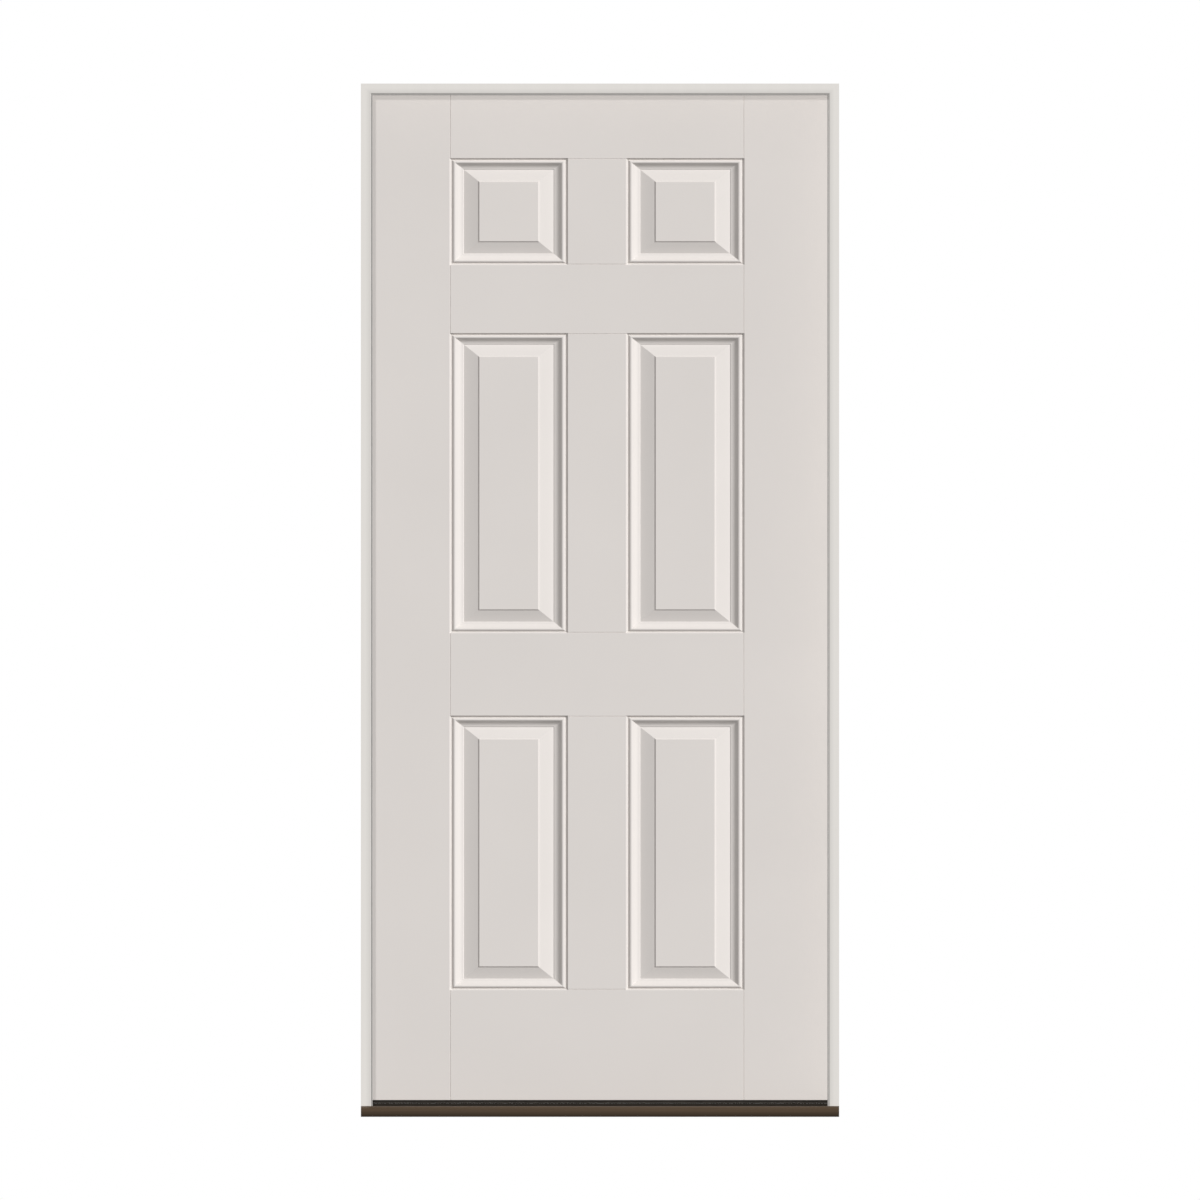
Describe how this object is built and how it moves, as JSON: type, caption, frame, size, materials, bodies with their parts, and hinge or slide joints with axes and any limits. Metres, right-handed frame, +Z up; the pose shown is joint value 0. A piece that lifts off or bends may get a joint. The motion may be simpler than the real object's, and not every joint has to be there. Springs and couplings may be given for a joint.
{
  "type": "panelled front door",
  "caption": "Six-panel exterior door hung on butt hinges in a rabbeted frame with a metal-decked sill, opening inwards.",
  "frame": {"origin": "middle of the sill's underside, halfway through the depth of the jambs", "axes": "+Z up, +Y into the house, +X to the right as seen from outside"},
  "size_m": [0.9524, 0.1617, 2.058],
  "materials": {
    "slab_paint": "satin light grey paint on moulded fibreglass",
    "frame_paint": "satin light grey paint on pine",
    "seal": "matte grey foam with a vinyl cover",
    "deck_metal": "bronze anodised",
    "cap": "dark composite",
    "composite": "moulded composite",
    "sweep": "matte black vinyl",
    "foam": "rigid foam",
    "timber": "bare pine",
    "hinge_metal": "satin nickel",
    "screw_zinc": "zinc plated"
  },
  "bodies": {
    "frame": {"hinge_jamb": "frame_paint", "strike_jamb": "frame_paint", "head_jamb": "frame_paint", "hinge_side_weatherstrip": "seal", "strike_side_weatherstrip": "seal", "head_weatherstrip": "seal", "hinge_side_corner_pad": "seal", "strike_side_corner_pad": "seal", "sill_deck": "deck_metal", "threshold_cap": "cap", "sill_substrate": "composite", "bottom_hinge_frame_leaf": "hinge_metal", "bottom_hinge_pin": "hinge_metal", "middle_hinge_frame_leaf": "hinge_metal", "middle_hinge_pin": "hinge_metal", "top_hinge_frame_leaf": "hinge_metal", "top_hinge_pin": "hinge_metal", "frame_leaf_screws": "hinge_metal", "jamb_corner_screws": "screw_zinc", "sill_screws": "screw_zinc", "cap_adjusting_screws": "screw_zinc"},
    "door": {"outside_skin": "slab_paint", "inside_skin": "slab_paint", "foam_core": "foam", "hinge_stile": "timber", "lock_stile": "timber", "lock_block": "timber", "top_rail": "composite", "bottom_rail": "composite", "door_sweep": "sweep", "bottom_hinge_door_leaf": "hinge_metal", "middle_hinge_door_leaf": "hinge_metal", "top_hinge_door_leaf": "hinge_metal", "door_leaf_screws": "hinge_metal"}
  },
  "joints": [
    {"name": "door_swing", "type": "hinge", "parent": "frame", "child": "door", "pos_m": [-0.46275, 0.0707, 1], "axis": [0, 0, 1], "range_deg": [0, 180]}
  ]
}
